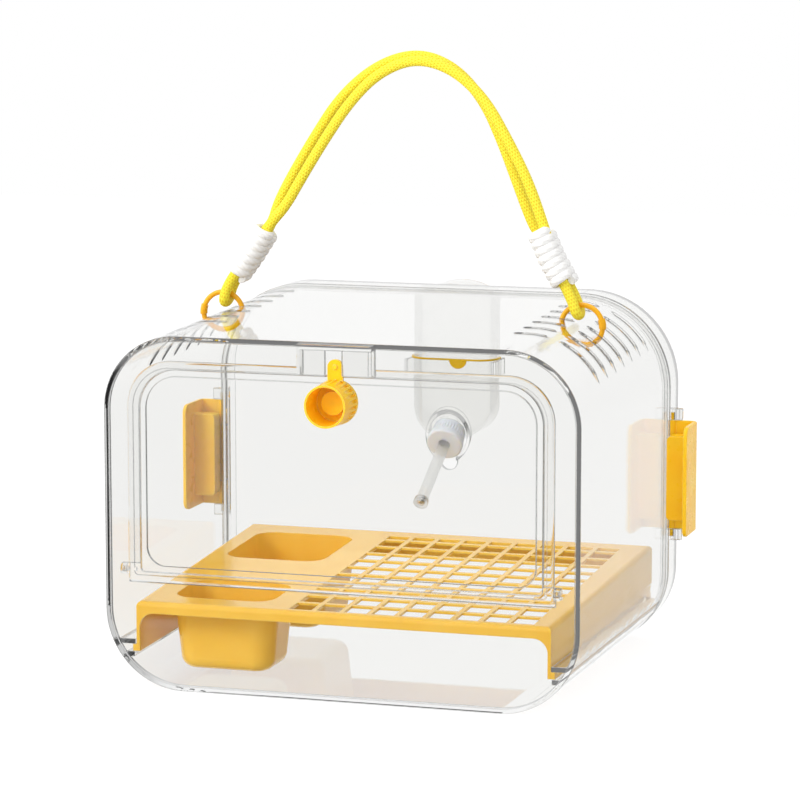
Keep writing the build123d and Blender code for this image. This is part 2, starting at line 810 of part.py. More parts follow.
def feeding_tray():
    top = tray_front_height + tray_rise + deck_thickness
    tray = tray_plan(0, leg_foot, top) & under_deck(0)
    middle = (leg_foot + tray_front_height) / 2
    long_edges = [e for e in tray.edges() if e.length > tray_length * 0.9 and e.center().Z > middle]
    tray = fillet(long_edges, deck_edge_radius)
    inner = tray_plan(leg_thickness, leg_foot - over, top, leg_thickness) & under_deck(deck_thickness)
    tray -= inner
    arch = tray_half_front - leg_thickness
    skirt_low = tray_front_height - skirt_height
    for y in (front_y + tray_front, front_y + tray_front + tray_length):
        gate = box((-arch, arch), (y - 2 * leg_thickness, y + 2 * leg_thickness), (0, skirt_low))
        gate = fillet(gate.edges().filter_by(Axis.Y).group_by(Axis.Z)[-1], leg_arch_radius)
        tray -= gate
    bead = tray_plan(-bead_out, leg_foot, leg_foot + bead_height) - tray_plan(
        leg_thickness / 2, leg_foot - over, leg_foot + bead_height + over, -over
    )
    tray += bead
    for bowl in (front_bowl, rear_bowl):
        tray += bowl() & under_deck(0)
    for bowl in (front_bowl, rear_bowl):
        tray -= bowl(bowl_wall)
    cell_x, cell_y = grid_pitch_x - grid_bar_x, grid_pitch_y - grid_bar_y
    cells = []
    for column in range(grid_columns):
        for row in range(grid_rows):
            x = grid_left + grid_pitch_x * column
            y = front_y + grid_front + grid_pitch_y * row
            far = min(y + cell_y, front_y + grid_rear)
            cells.append(box((x, x + cell_x), (y, far), (tray_front_height - skirt_height, top)))
    tray -= cells
    grid_right = grid_left + grid_pitch_x * grid_columns
    thinner = box((grid_left, grid_right), (front_y + grid_front, front_y + grid_rear), (leg_foot, top))
    return tray - (thinner & under_deck(grid_bar_height))


# ---------------------------------------------------------------- bottle, cap and tube
bottle_y = cover_back + bottle_gap + bottle_depth / 2


def flask(inset):
    """Flattened bottle with a domed top and round shoulders, less an inset all round."""
    width, height = bottle_width - 2 * inset, bottle_top - bottle_bottom - 2 * inset
    depth = bottle_depth - 2 * inset
    plan = Pos(0, bottle_y, bottle_bottom + inset) * RectangleRounded(width, depth, bottle_corner - inset)
    upright = extrude(plan, amount=height)
    front = Pos(0, (bottle_top + bottle_bottom) / 2) * Rectangle(width, height)
    front &= Pos(0, bottle_top - bottle_dome_radius) * Circle(bottle_dome_radius - inset)
    front += Pos(0, bottle_bottom + height / 4 + inset) * Rectangle(width, height / 2)
    levels = front.vertices().group_by(Axis.Y)
    front = fillet(levels[0], bottle_shoulder_radius - inset)
    levels = front.vertices().group_by(Axis.Y)
    front = fillet(levels[-1], bottle_top_radius - inset)
    across_y = Plane(origin=(0, bottle_y + depth, 0), x_dir=(1, 0, 0), z_dir=(0, -1, 0))
    return upright & extrude(across_y * front, amount=2 * depth)


def bottle_body():
    neck = neck_rod(neck_radius, -bottle_depth, neck_ahead)
    reach = bottle_y - bottle_depth / 2 + bottle_wall
    near = box((-beyond, beyond), (front_y, reach + bottle_depth / 4), (0, beyond))
    outside = flask(0) + (neck & near)
    return outside - flask(bottle_wall) - neck_rod(neck_bore, -bottle_depth / 2, neck_ahead + over)


cap_end = neck_ahead + cap_wall + seal_thickness + 2 * seal_gap
cap_start = cap_end - cap_length


def bottle_cap():
    """Screw cap with fine ribs, and a wider plain rim at the tube's end."""
    cap = neck_rod(cap_radius, cap_start, cap_end)
    rim = neck_rod(cap_rim_radius, cap_end - cap_rim_length, cap_end)
    cap += fillet(rim.edges().filter_by(GeomType.CIRCLE), cap_rim_edge)
    rib_middle = cap_end - cap_rim_length - cap_rib_length / 2
    for i in range(cap_rib_count):
        rib = Pos(cap_radius, 0, 0) * Cylinder(cap_rib_radius, cap_rib_length)
        cap += neck_frame(rib_middle).location * (Rot(Z=360 / cap_rib_count * i) * rib)
    cap -= neck_rod(neck_radius + cap_gap, cap_start - over, cap_end - cap_wall)
    return cap - neck_rod(tube_radius + running_gap, cap_start, cap_end + over)


def cap_seal():
    start = neck_ahead + seal_gap
    seal = neck_rod(neck_radius, start, start + seal_thickness)
    return seal - neck_rod(tube_radius + running_gap, start - over, start + seal_thickness + over)


tube_start = neck_ahead - tube_overlap
tube_end = tube_start + tube_length
ball_seat = tube_end - tube_lip_length


def drinking_tube():
    """Tube with a thicker lip, where a ball stops the water until the bird pushes it."""
    tube = neck_rod(tube_radius, tube_start, tube_end)
    tube += neck_rod(tube_lip_radius, ball_seat, tube_end)
    tube -= neck_rod(tube_bore, tube_start - over, ball_seat)
    tube -= neck_rod(ball_radius + running_gap, ball_seat - running_gap, tube_end - tube_rim)
    return tube - neck_rod(tube_mouth_radius, tube_end - tube_rim - running_gap, tube_end + over)


def tube_ball():
    centre = neck_frame(ball_seat).origin
    return Pos(*centre) * Sphere(ball_radius)


def bottle_collar():
    """Flat clip on the bottle's front that rests on the cradle, with a thumb tab hanging from it."""
    hole_x, hole_y = bottle_width + 2 * collar_gap, bottle_depth + 2 * collar_gap
    low = cradle_top + collar_seat_gap
    front = bottle_y - hole_y / 2 - collar_front_rim
    plan = RectangleRounded(
        hole_x + 2 * collar_side_rim, hole_y + 2 * collar_front_rim, bottle_corner + collar_gap
    )
    plan -= RectangleRounded(hole_x, hole_y, bottle_corner + collar_gap)
    clip = extrude(Pos(0, bottle_y, low) * plan, amount=collar_thickness)
    clip &= box((-beyond, beyond), (front, front + collar_arm), (0, beyond))
    middle = low + collar_thickness / 2
    tab = along_y(collar_tab_radius, front, front + collar_tab_thickness, collar_tab_offset, middle)
    return clip + (tab & box((-beyond, beyond), (front, front + collar_tab_thickness), (0, middle)))


# ---------------------------------------------------------------- rings
ring_height = roof_level(ring_x, ring_y) - ring_drop


def ring(side):
    return Pos(side * ring_x, ring_y, ring_height) * (Rot(X=90) * Torus(ring_radius, ring_wire / 2))


def ring_sleeve(side):
    """Short threaded-looking sleeve over the ring's joint."""
    outer = Torus(ring_radius, ring_wire / 2 + sleeve_wall) - Torus(ring_radius, ring_wire / 2 + sleeve_gap)
    reach = ring_radius + 2 * ring_wire
    half = radians(sleeve_half_angle)
    x, y = reach * cos(half), reach * sin(half)
    wedge = make_face(Polyline((0, 0), (x, -y), (x, y), close=True))
    wedge = extrude(wedge, amount=2 * ring_wire, both=True)
    angle = sleeve_angle if side < 0 else 180 - sleeve_angle
    piece = outer & (Rot(Z=angle) * wedge)
    return Pos(side * ring_x, ring_y, ring_height) * (Rot(X=90) * piece)


# ---------------------------------------------------------------- handle
def bend_radii(points):
    """Radius at each inner point of a route, so that each bend takes bend_share of the shorter run."""
    radii = []
    for before, here, after in zip(points, points[1:], points[2:]):
        back, ahead = here - before, after - here
        half_turn = radians(back.get_angle(ahead)) / 2
        radii.append(bend_share * min(back.length, ahead.length) / tan(half_turn))
    return radii


def cord_route():
    """Round the whole loop, from under the left wrap and back to it."""
    front = [Vector(x, ring_y - gap, z) for x, gap, z in handle_points]
    rear = [Vector(x, ring_y + gap, z) for x, gap, z in handle_points]
    along = (front[2] - front[1]).normalized()
    middle = (front[1] + front[2]) / 2
    start = middle + along * cord_end_gap / 2
    end = middle - along * cord_end_gap / 2
    return [start] + front[2:] + rear[::-1] + front[:2] + [end]


def handle_cord():
    points = cord_route()
    radii = bend_radii(points)
    path = FilletPolyline(*points, radius=radii)
    section = Plane(origin=path @ 0, z_dir=path % 0) * Circle(cord_diameter / 2)
    tube = sweep(section, path=path)
    print("cord: length", round(path.length, 1), "volume", round(tube.volume))
    print("cord: section times length", round(path.length * pi * cord_diameter**2 / 4))
    print("cord: radii", [round(r, 1) for r in radii])
    return tube


def handle_wrap(points, gap, foot_run):
    """Sleeve of wound cord round both strands, along three points from the foot up.

    The route is already straight where its bend above the ring ends, which is where
    the sleeve starts; foot_run is the shorter of the two runs at that bend.
    """
    foot, middle, top = [Vector(x, ring_y, z) for x, _, z in points]
    up, on = middle - foot, top - middle
    start = foot + up.normalized() * (bend_share * foot_run + wrap_end_gap)
    end = top - on.normalized() * wrap_top_gap
    path = FilletPolyline(start, middle, end, radius=bend_radii([foot, middle, top]))
    across = Plane(origin=path @ 0, x_dir=(0, 1, 0), z_dir=path % 0)
    inner = cord_diameter / 2 + wrap_gap
    outer = inner + wrap_thickness
    sleeve = sweep(across * SlotCenterToCenter(2 * gap, 2 * outer), path=path)
    return sleeve - sweep(across * SlotCenterToCenter(2 * gap, 2 * inner), path=path)


def handle_wraps():
    """Left and right sleeves."""
    wraps = []
    for points in (handle_points, handle_points[::-1]):
        ends = [Vector(x, ring_y + gap, z) for x, gap, z in points[:2]]
        wraps.append(handle_wrap(points[1:4], points[1][1], (ends[1] - ends[0]).length))
    return wraps


# ---------------------------------------------------------------- files
def main():
    right = latch_right()
    left_wrap, right_wrap = handle_wraps()
    pieces = {
        "body_shell": body_shell(),
        "front_door": front_door(),
        "latch_knob": latch_knob(),
        "knob_washer": knob_washer(),
        "knob_screw": knob_screw(),
        "rear_cover": rear_cover(),
        "latch_right": right,
        "latch_left": mirror_x(right),
        "feeding_tray": feeding_tray(),
        "bottle_body": bottle_body(),
        "bottle_cap": bottle_cap(),
        "cap_seal": cap_seal(),
        "drinking_tube": drinking_tube(),
        "tube_ball": tube_ball(),
        "bottle_collar": bottle_collar(),
        "ring_left": ring(-1),
        "ring_right": ring(1),
        "sleeve_left": ring_sleeve(-1),
        "sleeve_right": ring_sleeve(1),
        "handle_cord": handle_cord(),
        "wrap_left": left_wrap,
        "wrap_right": right_wrap,
    }
    os.makedirs("parts", exist_ok=True)
    for name, piece in pieces.items():
        piece.label = name
        export_step(piece, f"parts/{name}.step")


main()
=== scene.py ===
"""Clear travel carrier for a small bird: studio, materials and the rope handle, in metres."""
from math import cos, pi, sin

import bpy
from mathutils import Matrix, Vector


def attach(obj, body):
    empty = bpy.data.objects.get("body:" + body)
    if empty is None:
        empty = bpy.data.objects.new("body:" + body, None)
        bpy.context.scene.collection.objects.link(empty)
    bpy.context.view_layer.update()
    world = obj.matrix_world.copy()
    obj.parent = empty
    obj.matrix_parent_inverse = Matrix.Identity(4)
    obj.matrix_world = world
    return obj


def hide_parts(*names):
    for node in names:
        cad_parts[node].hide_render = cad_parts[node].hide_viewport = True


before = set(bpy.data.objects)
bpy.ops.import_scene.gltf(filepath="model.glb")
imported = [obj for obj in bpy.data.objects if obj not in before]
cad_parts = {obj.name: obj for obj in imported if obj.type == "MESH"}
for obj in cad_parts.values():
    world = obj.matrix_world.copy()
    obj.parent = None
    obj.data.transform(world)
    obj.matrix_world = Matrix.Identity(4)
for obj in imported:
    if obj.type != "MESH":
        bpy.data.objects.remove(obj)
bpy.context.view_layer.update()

# ---------------------------------------------------------------- camera
CAMERA_PLACE = Vector((0.6423, -2.0821, 0.4917))
CAMERA_TARGET = Vector((0.0392, -0.12435, 0.18685))
CAMERA_LENS = 156.8

# ---------------------------------------------------------------- handle
RING_PLANE_Y = 0.00245
CORD_DIAMETER = 0.0066
CORD_END_GAP = 0.0003
CORD_SIDES = 32
# The cord's route seen from the front: across, distance of each strand from the
# rings' plane, and height; then how far the front and the rear strand are moved
# across and up, where they spread apart above the wraps.
HANDLE_POINTS = [
    (-0.1164, 0.00575, 0.2257, 0, 0, 0, 0),
    (-0.1135, 0.00525, 0.2372, 0, 0, 0, 0),
    (-0.0996, 0.00525, 0.2556, 0, 0, 0, 0),
    (-0.0856, 0.00525, 0.2772, 0.0012, 0, -0.0006, 0),
    (-0.0796, 0.00525, 0.2884, 0.0056, 0, -0.0034, 0),
    (-0.0709, 0.00525, 0.3046, 0.0064, 0, -0.0038, 0),
    (-0.0546, 0.0048, 0.3309, 0.0064, 0, -0.0040, 0),
    (-0.0360, 0.0042, 0.3569, 0.0050, -0.0010, -0.0042, 0.0012),
    (-0.0134, 0.0036, 0.3763, 0.0012, -0.0022, -0.0020, 0.0022),
    (0.0110, 0.0035, 0.3843, 0.0004, -0.0010, 0, 0.0018),
    (0.0345, 0.0036, 0.3768, 0.0012, 0, 0, 0.0010),
    (0.0542, 0.0038, 0.3578, 0.0022, 0.0006, -0.0010, 0),
    (0.0679, 0.0042, 0.3333, 0.0034, 0, -0.0032, 0),
    (0.0793, 0.0048, 0.3086, 0.0052, 0, -0.0052, 0),
    (0.0894, 0.00525, 0.2816, 0.0052, 0, -0.0050, 0),
    (0.0925, 0.00525, 0.2752, 0.0040, 0, -0.0036, 0),
    (0.0995, 0.00525, 0.2592, 0.0004, 0, -0.0004, 0),
    (0.1125, 0.00525, 0.2372, 0, 0, 0, 0),
    (0.1164, 0.00575, 0.2257, 0, 0, 0, 0),
]
# The points that each wrap runs along, from its foot up.
LEFT_WRAP = HANDLE_POINTS[1:4]
RIGHT_WRAP = [HANDLE_POINTS[index] for index in (17, 16, 14)]
WRAP_TURNS = 7
WRAP_RADIAL = 0.0021      # half of the wound cord's thickness
WRAP_GAP = 0.0002
WRAP_STEPS = 40           # points round one turn
WRAP_SIDES = 14           # round the wound cord's section
WRAP_HALF_PITCH = 0.52    # half of the wound cord's height, as a share of the turns' pitch
WRAP_FOOT_RISE = 0.0062   # above the bend over the ring
WRAP_TOP_DROP = 0.003     # below the route's next point

# ---------------------------------------------------------------- looks
WHITE = (1.0, 1.0, 1.0, 1.0)
CLEAR_TINT = (0.975, 0.975, 0.971, 1)
PLASTIC_IOR = 1.49
MIRROR_POWER = 1.5        # Fresnel share to this power is mirrored
CLEAR_EDGE_RADIUS = 0.0009
MOULDED_EDGE_RADIUS = 0.0007
# A wall seen edge-on leads light along inside it. After this many inner reflections
# it shows a painted glow, an emission at a plain level set by its place: spans in depth with a painted
# dark line for the left wall and for the underside, and the piece's own rim light elsewhere.
LED_REFLECTIONS = 4.5
LEFT_LIGHT, LEFT_DARK = 0.6, 0.02
LEFT_LINE = (-0.0565, -0.0555)
LEFT_FADE = (-0.03, 0.01)
LEFT_WALL = (-0.14, -0.125)
UNDER_LIGHT, UNDER_DARK = 0.95, 0.03
UNDER_LINE_FRONT = (-0.030, -0.028)
UNDER_LINE_REAR = (-0.0256, -0.0246)
UNDER_WALL = (0.008, 0.02)
BRAID_STRANDS = 11        # in each family, round the cord
BRAID_PITCH = 0.0042      # along the cord
SPIN_STRANDS = 7.0        # round the wound cord
SPIN_TWIST = 160.0        # strands passed per metre along it

# ---------------------------------------------------------------- studio
# Panels that mirrored rays see: direction, and the cosines between which each comes up.
PANEL_BEHIND = (0.35, 0.75)
PANELS = (((-0.75, -0.35, 0.55), 0.55, 0.8), ((0, 0, 1), 0.55, 0.8))
RIGHT_SIDE = (0.15, 0.6)
RIGHT_LOSS = 0.5
SHINE_LEVELS = (0.12, 1.05)
SOFT_FROM = (-0.35, -0.9, 0.25)
SOFT_LEVELS = (0.5, 1.36)
LAMP_TARGET = (0, 0, 0.15)
# name, place, size, power
LAMPS = (
    ("key", (-1.1, -1.5, 1.1), (0.7, 0.7), 18.0),
    ("top", (0.2, 0.3, 1.6), (0.9, 0.9), 3.0),
)
FLOOR_REACH = 3.0
FLOOR_LEVEL = -0.0003     # just under the body's underside
FLOOR_GLOW = 0.86         # what the camera sees of the floor, besides the light on it
FLOOR_FAINT = (0.22, 0.22, 0.22, 1)
FLOOR_PALE = (0.8, 0.8, 0.8, 1)


# ---------------------------------------------------------------- node helpers
class Graph:
    """A node tree with short ways to add and join nodes."""

    def __init__(self, tree):
        self.tree = tree
        tree.nodes.clear()

    def node(self, kind, values=(), **settings):
        node = self.tree.nodes.new(kind)
        for name, value in settings.items():
            setattr(node, name, value)
        for name, value in dict(values).items():
            self.put(node.inputs[name], value)
        return node

    def put(self, socket, value):
        if isinstance(value, bpy.types.NodeSocket):
            self.tree.links.new(value, socket)
        else:
            socket.default_value = value

    def math(self, operation, *values):
        node = self.node("ShaderNodeMath", operation=operation)
        for socket, value in zip(node.inputs, values):
            self.put(socket, value)
        return node.outputs[0]

    def mix(self, factor, low, high):
        node = self.node("ShaderNodeMix", data_type="RGBA")
        for index, value in ((0, factor), (6, low), (7, high)):
            self.put(node.inputs[index], value)
        return node.outputs[2]

    def shade(self, factor, one, other):
        return self.node("ShaderNodeMixShader", {0: factor, 1: one, 2: other}).outputs[0]

    def rounded_edges(self, radius):
        """Normal with rounded edges, and how near an edge the point is, from 0 to about 1."""
        rounded = self.node("ShaderNodeBevel", {"Radius": radius}, samples=4).outputs[0]
        flat = self.node("ShaderNodeNewGeometry").outputs["Normal"]
        alike = self.node("ShaderNodeVectorMath", {0: rounded, 1: flat}, operation="DOT_PRODUCT")
        return rounded, self.span(alike.outputs["Value"], 0.9, 0.0, 0.75, 0.98)

    def noise(self, scale, detail=3.0, roughness=0.5, stretch=(1.0, 1.0, 1.0)):
        place = self.node("ShaderNodeTexCoord").outputs["Object"]
        mapped = self.node("ShaderNodeMapping", {"Vector": place, "Scale": stretch}).outputs[0]
        values = {"Vector": mapped, "Scale": scale, "Detail": detail, "Roughness": roughness}
        return self.node("ShaderNodeTexNoise", values).outputs["Fac"]

    def span(self, value, low, high, start=0.0, end=1.0):
        """From low to high as the value goes from start to end."""
        values = {0: value, 1: start, 2: end, 3: low, 4: high}
        node = self.node("ShaderNodeMapRange")
        for index, item in values.items():
            self.put(node.inputs[index], item)
        return node.outputs[0]

    def bump(self, height, strength, distance, normal=None):
        values = {"Height": height, "Strength": strength, "Distance": distance}
        if normal:
            values["Normal"] = normal
        return self.node("ShaderNodeBump", values).outputs[0]


def material(name):
    new = bpy.data.materials.new(name)
    new.use_nodes = True
    return new, Graph(new.node_tree)


def finish(graph, shader):
    graph.node("ShaderNodeOutputMaterial", {"Surface": shader})


def finish_principled(graph, values):
    finish(graph, graph.node("ShaderNodeBsdfPrincipled", values).outputs[0])


# ---------------------------------------------------------------- materials
def clear_plastic(name, tint, roughness, wave, rim_light, softness):
    """Polished clear plastic with rounded edges carrying painted shade, faint moulding waves and scuffs.

    rim_light is the level of the painted glow that a wall shows edge-on, standing in for the light led
    along inside it.
    softness is the share of light that passes straight through.
    """
    new, g = material(name)
    ripple = g.noise(9.0, detail=2.0)
    scuffs = g.noise(60.0, detail=6.0, roughness=0.7, stretch=(1.0, 1.0, 0.15))
    rounded, edge = g.rounded_edges(CLEAR_EDGE_RADIUS)
    normal = g.bump(ripple, 0.25, wave, rounded)
    # Painted shade: near the edges the refracted colour is greyed towards 0.5, standing in for the dark
    # lines that bent light shows there.
    shade = g.mix(edge, tint, (0.5, 0.5, 0.5, 1))
    polish = g.span(scuffs, roughness, roughness * 3, 0.45, 0.8)
    surface = {"Roughness": polish, "Normal": normal}
    bent = g.node("ShaderNodeBsdfRefraction", {"Color": shade, "IOR": PLASTIC_IOR, **surface}).outputs[0]
    mirrored = g.node("ShaderNodeBsdfGlossy", {"Color": WHITE, **surface}).outputs[0]
    fresnel = g.node("ShaderNodeFresnel", {"IOR": PLASTIC_IOR, "Normal": normal}).outputs[0]
    rays = g.node("ShaderNodeLightPath")
    glass = g.shade(g.math("POWER", fresnel, MIRROR_POWER), bent, mirrored)
    # Painted glow: an emission, set by place, stands in for light led along inside the wall, with
    # painted dark lines on the left wall and underside.
    place = g.node("ShaderNodeSeparateXYZ", {"Vector": g.node("ShaderNodeTexCoord").outputs["Object"]})
    across, back, height = place.outputs
    left = g.span(back, LEFT_LIGHT, LEFT_DARK, *LEFT_LINE)
    left = g.span(back, left, rim_light, *LEFT_FADE)
    level = g.span(across, left, rim_light, *LEFT_WALL)
    before = g.span(back, UNDER_LIGHT, UNDER_DARK, *UNDER_LINE_FRONT)
    under = g.math("MAXIMUM", before, g.span(back, UNDER_DARK, UNDER_LIGHT, *UNDER_LINE_REAR))
    level = g.span(height, under, level, *UNDER_WALL)
    painted_glow = g.node("ShaderNodeEmission", {"Color": WHITE, "Strength": level}).outputs[0]
    painted_glow_mask = g.math("GREATER_THAN", rays.outputs["Glossy Depth"], LED_REFLECTIONS)
    glass = g.shade(painted_glow_mask, glass, painted_glow)
    through = g.node("ShaderNodeBsdfTransparent", {"Color": tint}).outputs[0]
    finish(g, g.shade(g.math("MAXIMUM", rays.outputs["Is Shadow Ray"], softness), glass, through))
    return new


def moulded_plastic(name, light, deep, edge, roughness, gloss, depth):
    """Coloured plastic: fine moulded grain, soft mottling, some light inside and a painted highlight
    along rounded edges.
    """
    new, g = material(name)
    mottle = g.noise(35.0, detail=4.0)
    colour = g.mix(g.span(mottle, 0.0, 1.0, 0.35, 0.65), light, deep)
    rounded, painted_highlight_mask = g.rounded_edges(MOULDED_EDGE_RADIUS)
    # Painted highlight: the edge colour is blended in where the point lies near a rounded edge.
    colour = g.mix(painted_highlight_mask, colour, edge)
    fine = g.noise(900.0, detail=2.0)
    wear = g.noise(140.0, detail=5.0, roughness=0.65)
    finish_principled(g, {
        "Base Color": colour,
        "Roughness": g.span(wear, roughness * 0.8, roughness * 1.35, 0.3, 0.7),
        "IOR": 1.5,
        "Specular IOR Level": gloss,
        "Subsurface Weight": depth,
        "Subsurface Radius": (1.0, 0.65, 0.15),
        "Subsurface Scale": 0.004,
        "Normal": g.bump(fine, 0.08, 0.0002, rounded),
    })
    return new


def painted_metal(name, colour, dark):
    new, g = material(name)
    orange_peel = g.noise(420.0, detail=2.0)
    patches = g.noise(90.0, detail=4.0)
    finish_principled(g, {
        "Base Color": g.mix(g.span(patches, 0.0, 1.0, 0.4, 0.7), colour, dark),
        "Roughness": g.span(patches, 0.18, 0.32),
        "Metallic": 0.15,
        "Coat Weight": 0.5,
        "Coat Roughness": 0.12,
        "Normal": g.bump(orange_peel, 0.15, 0.0001),
    })
    return new


def steel(name):
    new, g = material(name)
    streaks = g.noise(300.0, detail=4.0, stretch=(1.0, 0.1, 1.0))
    finish_principled(g, {
        "Base Color": g.mix(streaks, (0.82, 0.83, 0.84, 1), (0.93, 0.93, 0.93, 1)),
        "Metallic": 1.0,
        "Roughness": g.span(streaks, 0.25, 0.45),
        "Normal": g.bump(streaks, 0.2, 0.0001),
    })
    return new


def braid(name, light, painted_groove_shade):
    """Tight braid: two crossing families of strands, each passing over and under the other."""
    new, g = material(name)
    place = g.node("ShaderNodeUVMap", uv_map="along").outputs[0]
    parts = g.node("ShaderNodeSeparateXYZ", {"Vector": place})
    around, along = parts.outputs[0], g.math("DIVIDE", parts.outputs[1], BRAID_PITCH)
    turns = g.math("MULTIPLY", around, float(BRAID_STRANDS))
    one = g.math("ADD", turns, along)
    other = g.math("SUBTRACT", turns, along)
    ridge_one = g.math("ABSOLUTE", g.math("SINE", g.math("MULTIPLY", one, pi)))
    ridge_other = g.math("ABSOLUTE", g.math("SINE", g.math("MULTIPLY", other, pi)))
    crossing = g.math("SINE", g.math("MULTIPLY", turns, 2 * pi))
    wave = g.math("COSINE", g.math("MULTIPLY", along, 2 * pi))
    over = g.math("GREATER_THAN", g.math("MULTIPLY", crossing, wave), 0.0)
    under = g.math("SUBTRACT", 1.0, over)
    height = g.math("ADD", g.math("MULTIPLY", ridge_one, over), g.math("MULTIPLY", ridge_other, under))
    fibres = g.noise(2600.0, detail=3.0)
    height = g.math("ADD", height, g.math("MULTIPLY", fibres, 0.35))
    # Painted shade: the grooves between strands take the darker colour; the fibre noise adds some real
    # tone variation too.
    colour = g.mix(g.span(height, 0.0, 1.0, 0.25, 0.95), painted_groove_shade, light)
    finish_principled(g, {
        "Base Color": colour,
        "Roughness": 0.62,
        "Sheen Weight": 0.4,
        "Sheen Roughness": 0.4,
        "Sheen Tint": light,
        "Normal": g.bump(height, 0.6, 0.0003),
    })
    return new


def soft_cord(name, light, shade):
    """Loosely spun white cord: fibres that run along it with a slight twist."""
    new, g = material(name)
    place = g.node("ShaderNodeUVMap", uv_map="along").outputs[0]
    parts = g.node("ShaderNodeSeparateXYZ", {"Vector": place})
    around = g.math("MULTIPLY", parts.outputs[0], SPIN_STRANDS)
    along = g.math("MULTIPLY", parts.outputs[1], SPIN_TWIST)
    twist = g.math("ADD", around, along)
    strand = g.math("ABSOLUTE", g.math("SINE", g.math("MULTIPLY", twist, pi)))
    fluff = g.noise(1500.0, detail=5.0, roughness=0.7)
    height = g.math("ADD", g.math("MULTIPLY", strand, 0.5), fluff)
    # Painted shade: the darker colour lies between the spun strands; the fluff noise adds some real tone
    # variation too.
    finish_principled(g, {
        "Base Color": g.mix(g.span(height, 0.0, 1.0, 0.3, 1.2), shade, light),
        "Roughness": 0.85,
        "Sheen Weight": 0.4,
        "Normal": g.bump(height, 0.8, 0.0005),
    })
    return new


def dress(material_new, *nodes):
    for name in nodes:
        piece = bpy.data.objects[name]
        piece.data.materials.clear()
        piece.data.materials.append(material_new)


# material, piece, roughness, moulding waves, rim light (level of the painted glow), softness
CLEAR_PIECES = (
    ("clear_shell", "body_shell", 0.006, 0.0004, 0.2, 0.0),
    ("clear_cover", "rear_cover", 0.006, 0.0004, 0.55, 0.0),
    ("clear_door", "front_door", 0.006, 0.0004, 0.35, 0.0),
    ("clear_bottle", "bottle_body", 0.012, 0.0006, 0.6, 0.35),
    ("clear_tube", "drinking_tube", 0.02, 0.0003, 0.6, 0.3),
)
# material, pieces, light and deep colours, painted edge highlight colour, roughness, gloss, light inside
MOULDED_PIECES = (
    ("amber_latch", ("latch_left", "latch_right", "bottle_collar"),
     (1.0, 0.61, 0.02, 1), (1.0, 0.55, 0.014, 1), (1.0, 0.78, 0.25, 1), 0.28, 0.3, 0.25),
    ("amber_knob", ("latch_knob",),
     (1.0, 0.6, 0.012, 1), (1.0, 0.52, 0.008, 1), (1.0, 0.8, 0.3, 1), 0.3, 0.25, 0.3),
    ("amber_tray", ("feeding_tray",),
     (0.95, 0.58, 0.09, 1), (0.92, 0.54, 0.07, 1), (1.0, 0.75, 0.3, 1), 0.16, 0.55, 0.2),
    ("grey_cap", ("bottle_cap",),
     (0.78, 0.81, 0.86, 1), (0.7, 0.73, 0.78, 1), (0.95, 0.95, 0.96, 1), 0.35, 0.5, 0.2),
    ("pale_seal", ("cap_seal",),
     (0.85, 0.85, 0.82, 1), (0.75, 0.75, 0.72, 1), (0.9, 0.9, 0.9, 1), 0.55, 0.3, 0.2),
)


def dress_nodes():
    for name, piece, roughness, wave, rim_light, softness in CLEAR_PIECES:
        dress(clear_plastic(name, CLEAR_TINT, roughness, wave, rim_light, softness), piece)
    for name, pieces, *look in MOULDED_PIECES:
        dress(moulded_plastic(name, *look), *pieces)
    rings = painted_metal("ring_coat", (0.95, 0.48, 0.01, 1), (0.85, 0.38, 0.006, 1))
    dress(rings, "ring_left", "ring_right", "sleeve_left", "sleeve_right")
    dress(steel("plain_steel"), "knob_screw", "knob_washer", "tube_ball")


# ---------------------------------------------------------------- handle pieces
def handle_strands():
    """Points of the front and of the rear strand, from the left ring to the right one."""
    front, rear = [], []
    for x, gap, z, *moved in HANDLE_POINTS:
        front.append(Vector((x + moved[0], RING_PLANE_Y - gap, z + moved[1])))
        rear.append(Vector((x + moved[2], RING_PLANE_Y + gap, z + moved[3])))
    return front, rear


def cord_route():
    """Round the whole loop, from under the left wrap and back to it."""
    front, rear = handle_strands()
    along = (front[2] - front[1]).normalized()
    middle = (front[1] + front[2]) / 2
    start = middle + along * CORD_END_GAP / 2
    end = middle - along * CORD_END_GAP / 2
    return [start] + front[2:] + rear[::-1] + front[:2] + [end]


def smooth_line(name, points, resolution=16):
    """Points of the NURBS spline that has these control points."""
    curve = bpy.data.curves.new(name, "CURVE")
    curve.dimensions = "3D"
    spline = curve.splines.new("NURBS")
    spline.points.add(len(points) - 1)
    for point, place in zip(spline.points, points):
        point.co = (*place, 1.0)
    spline.order_u = 3
    spline.use_endpoint_u = True
    spline.resolution_u = resolution
    holder = bpy.data.objects.new(name, curve)
    mesh = bpy.data.meshes.new_from_object(holder)
    line = [vertex.co.copy() for vertex in mesh.vertices]
    bpy.data.objects.remove(holder)
    bpy.data.curves.remove(curve)
    bpy.data.meshes.remove(mesh)
    return line


def cross_directions(line):
    """Two steady directions across a line at each of its points."""
    tangents = []
    for index in range(len(line)):
        ahead = line[min(index + 1, len(line) - 1)] - line[max(index - 1, 0)]
        tangents.append(ahead.normalized())
    side = tangents[0].orthogonal().normalized()
    crosses = []
    for tangent in tangents:
        side = (side - tangent * side.dot(tangent)).normalized()
        crosses.append((side, tangent.cross(side)))
    return crosses


